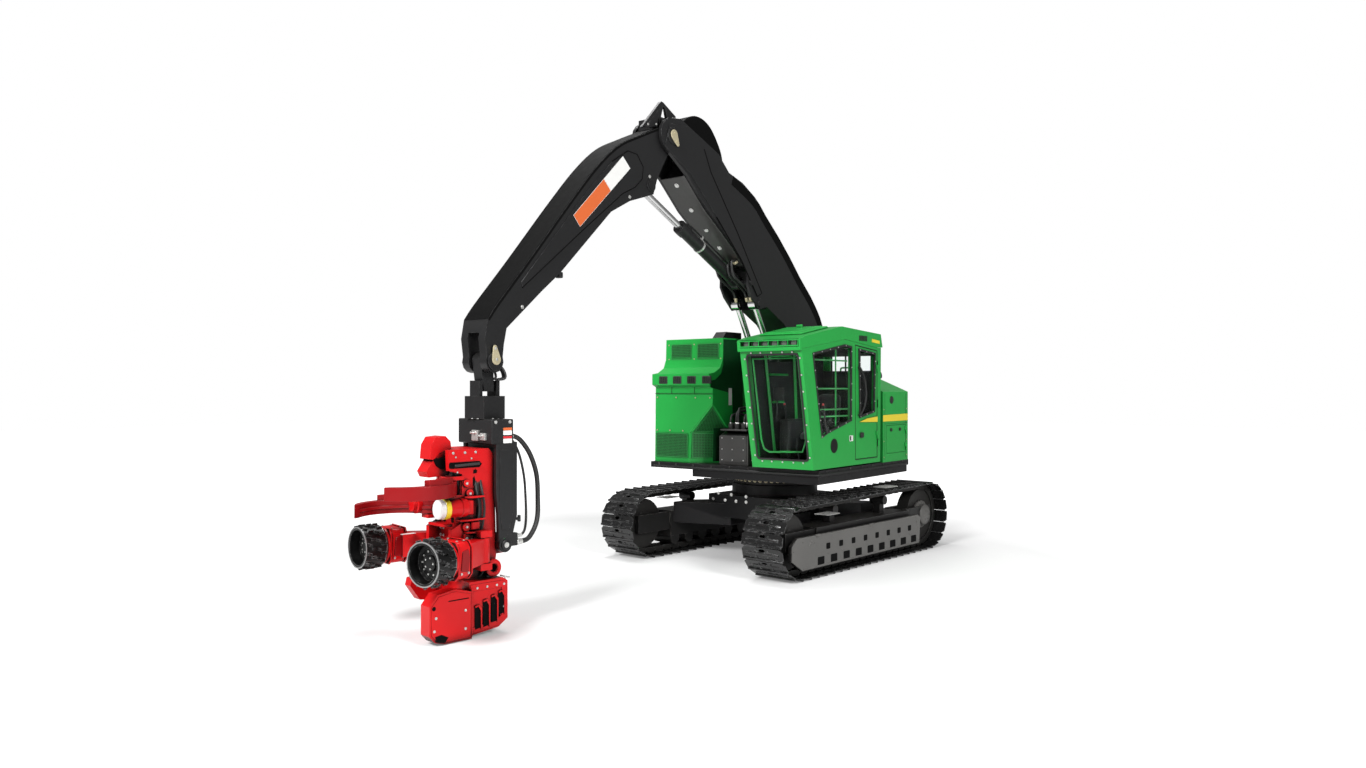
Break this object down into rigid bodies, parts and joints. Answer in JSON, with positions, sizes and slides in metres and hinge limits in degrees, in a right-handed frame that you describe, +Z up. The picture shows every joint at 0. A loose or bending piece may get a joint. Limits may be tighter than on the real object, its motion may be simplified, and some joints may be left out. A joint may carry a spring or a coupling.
{
  "type": "tracked forestry harvester",
  "caption": "Tracked swing machine with a side cab, boom, stick and hanging harvesting head; the tracks carry the upper, which turns on a slewing ring.",
  "frame": {"origin": "centre of the machine's bounding box on the ground", "axes": "-Y towards the harvesting head, +X to the machine's left, the cab's side, +Z up"},
  "size_m": [3.45, 9.8557, 6.49],
  "materials": {
    "green_paint": "gloss",
    "chassis_paint": "satin",
    "boom_paint": "satin",
    "rod_chrome": "polished",
    "head_red": "gloss",
    "roller_steel": "satin",
    "bar_steel": "satin",
    "track_steel": "satin",
    "frame_paint": "satin",
    "wheel_iron": "matte",
    "engine_iron": "matte",
    "window_glass": "polished",
    "seat_cloth": "matte",
    "seat_steel": "satin",
    "lamp_steel": "satin",
    "hose_rubber": "matte"
  },
  "bodies": {
    "upperstructure": {"air_intake": "chassis_paint", "cab_roof": "green_paint", "cab_shell": "green_paint", "counterweight": "chassis_paint", "deck": "chassis_paint", "engine_block": "engine_iron", "engine_hood": "green_paint", "far_window": "window_glass", "left_cabinet": "green_paint", "right_cabinet": "green_paint", "roof_lamps": "lamp_steel", "seat": "seat_cloth", "seat_base": "seat_steel", "side_window": "window_glass", "valve_box": "chassis_paint", "windscreen": "window_glass"},
    "boom": {"boom": "boom_paint", "boom_hose_guard": "boom_paint"},
    "boom_left_barrel": {"boom_left_cylinder": "boom_paint"},
    "boom_left_rod": {"boom_left_rod": "rod_chrome"},
    "boom_right_barrel": {"boom_right_cylinder": "boom_paint"},
    "boom_right_rod": {"boom_right_rod": "rod_chrome"},
    "cab_door": {"cab_door": "green_paint", "door_window": "window_glass"},
    "undercarriage": {"carbody": "chassis_paint", "idler_left": "wheel_iron", "idler_right": "wheel_iron", "slew_ring": "wheel_iron", "sprocket_left": "wheel_iron", "sprocket_right": "wheel_iron", "track_frame_left": "frame_paint", "track_frame_right": "frame_paint", "track_left": "track_steel", "track_right": "track_steel"},
    "engine_door": {"engine_door": "green_paint"},
    "feed_arm_left": {"feed_arm_left": "head_red"},
    "feed_arm_right": {"feed_arm_right": "head_red"},
    "feed_roller_left": {"feed_roller_left": "roller_steel"},
    "feed_roller_right": {"feed_roller_right": "roller_steel"},
    "head": {"head_frame": "head_red", "saw_box": "head_red", "top_knife": "head_red"},
    "tilt_frame": {"hose_thick": "hose_rubber", "hose_thin": "hose_rubber", "tilt_frame": "boom_paint"},
    "knife_left": {"knife_left": "head_red"},
    "knife_right": {"knife_right": "head_red"},
    "left_cabinet_door": {"left_cabinet_door": "green_paint"},
    "link": {"link": "boom_paint"},
    "rotator": {"rotator": "boom_paint"},
    "saw_bar": {"saw_bar": "bar_steel"},
    "stick": {"stick": "boom_paint"},
    "stick_barrel": {"stick_cylinder": "boom_paint"},
    "stick_rod": {"stick_rod": "rod_chrome"}
  },
  "joints": [
    {"name": "upper_swing", "type": "hinge", "parent": "undercarriage", "child": "upperstructure", "pos_m": [0, 2.4044, 0.03], "axis": [0, 0, 1], "continuous": true},
    {"name": "boom_lift", "type": "hinge", "parent": "upperstructure", "child": "boom", "pos_m": [-0.08422, 3.55131, 1.98], "axis": [-0.9973, -0.0732, 0], "range_deg": [-32, 20]},
    {"name": "stick_swing", "type": "hinge", "parent": "boom", "child": "stick", "pos_m": [0.21605, -0.53768, 6], "axis": [-0.9973, -0.0732, 0], "range_deg": [-25, 55]},
    {"name": "boom_left_barrel_pivot", "type": "hinge", "parent": "upperstructure", "child": "boom_left_barrel", "pos_m": [-0.03296, 2.85319, 1.73], "axis": [-0.9973, -0.0732, 0], "range_deg": [-37, 24]},
    {"name": "boom_left_rod_travel", "type": "slide", "parent": "boom_left_barrel", "child": "boom_left_rod", "axis": [0.0369, -0.502, 0.8641], "range_m": [-0.392, 0.249]},
    {"name": "boom_right_barrel_pivot", "type": "hinge", "parent": "upperstructure", "child": "boom_right_barrel", "pos_m": [-0.03296, 2.85319, 1.73], "axis": [-0.9973, -0.0732, 0], "range_deg": [-37, 24]},
    {"name": "boom_right_rod_travel", "type": "slide", "parent": "boom_right_barrel", "child": "boom_right_rod", "axis": [0.0369, -0.502, 0.8641], "range_m": [-0.392, 0.249]},
    {"name": "stick_barrel_pivot", "type": "hinge", "parent": "boom", "child": "stick_barrel", "pos_m": [0.07763, 1.34725, 4.2], "axis": [-0.9973, -0.0732, 0], "range_deg": [-4, 6]},
    {"name": "stick_rod_travel", "type": "slide", "parent": "stick_barrel", "child": "stick_rod", "axis": [0.0661, -0.9006, 0.4296], "range_m": [-0.336, 0.726]},
    {"name": "link_swing", "type": "hinge", "parent": "stick", "child": "link", "pos_m": [0.43943, -3.57949, 2.91], "axis": [0.9973, 0.0732, 0], "range_deg": [-35, 35]},
    {"name": "cross_swing", "type": "hinge", "parent": "link", "child": "rotator", "pos_m": [0.43723, -3.54957, 2.64], "axis": [-0.0732, 0.9973, 0], "range_deg": [-20, 20]},
    {"name": "rotator_turn", "type": "hinge", "parent": "rotator", "child": "tilt_frame", "pos_m": [0.43723, -3.54957, 0.03], "axis": [0, 0, 1], "continuous": true},
    {"name": "head_tilt", "type": "hinge", "parent": "tilt_frame", "child": "head", "pos_m": [0.43988, -3.50965, 0.92], "axis": [0.9978, -0.0663, 0], "range_deg": [0, 90]},
    {"name": "saw_swing", "type": "hinge", "parent": "head", "child": "saw_bar", "pos_m": [0.76323, -3.77166, 0.22], "axis": [0, 0, -1], "range_deg": [0, 95]},
    {"name": "knife_left_close", "type": "hinge", "parent": "head", "child": "knife_left", "pos_m": [0.60034, -4.11161, 1.5], "axis": [0, 0, -1], "range_deg": [-20, 35]},
    {"name": "knife_right_close", "type": "hinge", "parent": "head", "child": "knife_right", "pos_m": [0.20122, -4.0851, 1.27], "axis": [0, 0, 1], "range_deg": [-20, 35]},
    {"name": "feed_arm_left_close", "type": "hinge", "parent": "head", "child": "feed_arm_left", "pos_m": [0.77987, -3.82288, 0.9], "axis": [0, 0, -1], "range_deg": [-15, 25]},
    {"name": "feed_arm_right_close", "type": "hinge", "parent": "head", "child": "feed_arm_right", "pos_m": [0.06145, -3.77516, 0.9], "axis": [0, 0, 1], "range_deg": [-15, 25]},
    {"name": "roller_left_turn", "type": "hinge", "parent": "feed_arm_left", "child": "feed_roller_left", "pos_m": [1.01705, -4.5071, 0.9], "axis": [-0.1771, 0.9842, 0], "continuous": true},
    {"name": "roller_right_turn", "type": "hinge", "parent": "feed_arm_right", "child": "feed_roller_right", "pos_m": [-0.32154, -4.41117, 0.9], "axis": [0.0663, 0.9978, 0], "continuous": true},
    {"name": "cab_door_swing", "type": "hinge", "parent": "upperstructure", "child": "cab_door", "pos_m": [1.45329, 3.12284, 0.03], "axis": [0, 0, 1], "range_deg": [0, 100]},
    {"name": "left_cabinet_door_swing", "type": "hinge", "parent": "upperstructure", "child": "left_cabinet_door", "pos_m": [1.38929, 4.13079, 0.03], "axis": [0, 0, 1], "range_deg": [0, 110]},
    {"name": "engine_door_swing", "type": "hinge", "parent": "upperstructure", "child": "engine_door", "pos_m": [-1.64772, 3.78744, 0.03], "axis": [0, 0, -1], "range_deg": [0, 100]}
  ],
  "couplings": [
    {"joint": "boom_left_barrel_pivot", "follows": "boom_lift", "ratio": 1.1049},
    {"joint": "boom_left_rod_travel", "follows": "boom_lift", "m_per_rad": 0.6845},
    {"joint": "boom_right_barrel_pivot", "follows": "boom_lift", "ratio": 1.1049},
    {"joint": "boom_right_rod_travel", "follows": "boom_lift", "m_per_rad": 0.6845},
    {"joint": "stick_barrel_pivot", "follows": "stick_swing", "ratio": 0.0885},
    {"joint": "stick_rod_travel", "follows": "stick_swing", "m_per_rad": 0.7461},
    {"joint": "knife_right_close", "follows": "knife_left_close", "ratio": 1},
    {"joint": "feed_arm_right_close", "follows": "feed_arm_left_close", "ratio": 1}
  ]
}
